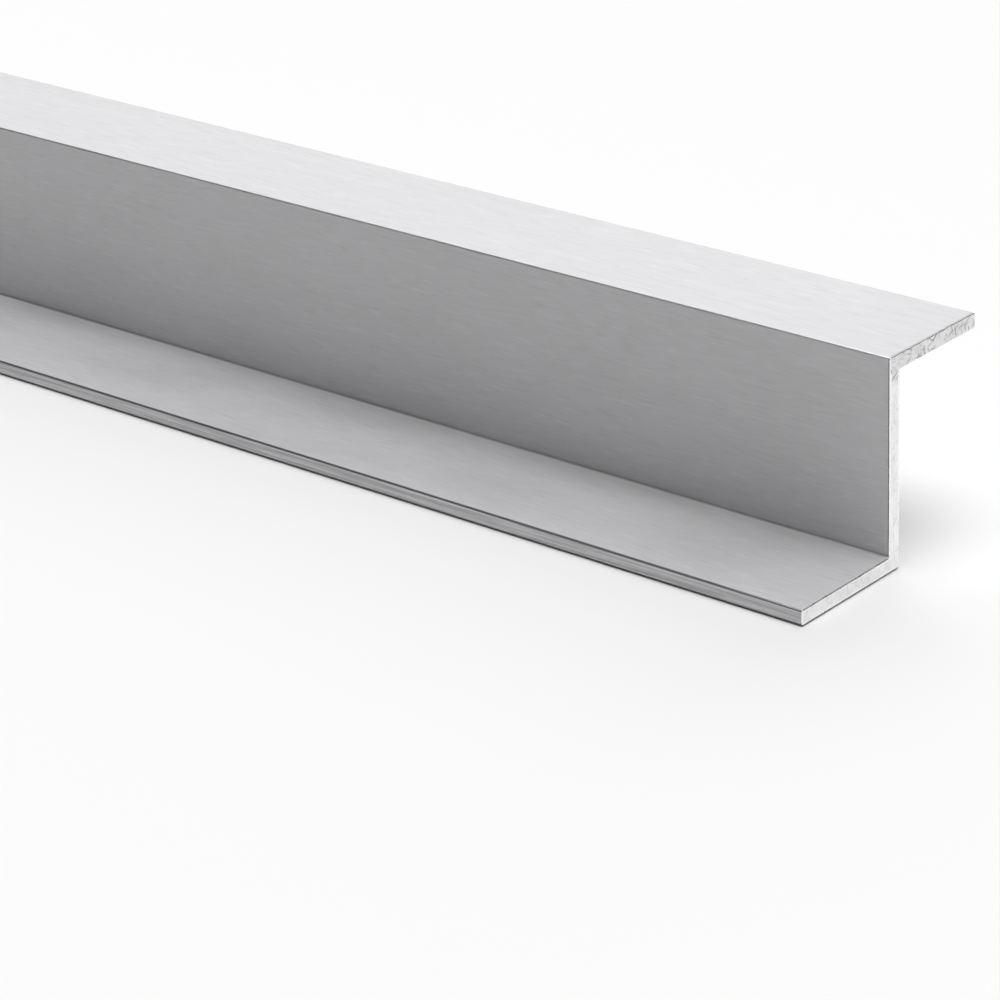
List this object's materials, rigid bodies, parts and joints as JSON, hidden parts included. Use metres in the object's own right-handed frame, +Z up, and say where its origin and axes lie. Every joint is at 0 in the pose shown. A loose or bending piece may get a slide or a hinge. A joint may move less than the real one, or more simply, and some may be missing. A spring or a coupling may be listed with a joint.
{
  "type": "aluminium extrusion profile",
  "caption": "Straight Z-section aluminium bar: an upright web with two flanges turned opposite ways, sawn square, for edging, framing and hanging panels.",
  "frame": {"origin": "on the floor under the middle of the bar's length and overall width, which is under the web's front face", "axes": "+X along the bar, +Z up along the web, +Y towards the top flange's tip; the bottom flange runs to -Y"},
  "size_m": [1, 0.09, 0.07],
  "materials": {
    "mill_aluminium": "mill finish with fine lengthwise extrusion lines, bright sawn ends"
  },
  "bodies": {
    "root": {"z_profile": "mill_aluminium"}
  },
  "joints": []
}
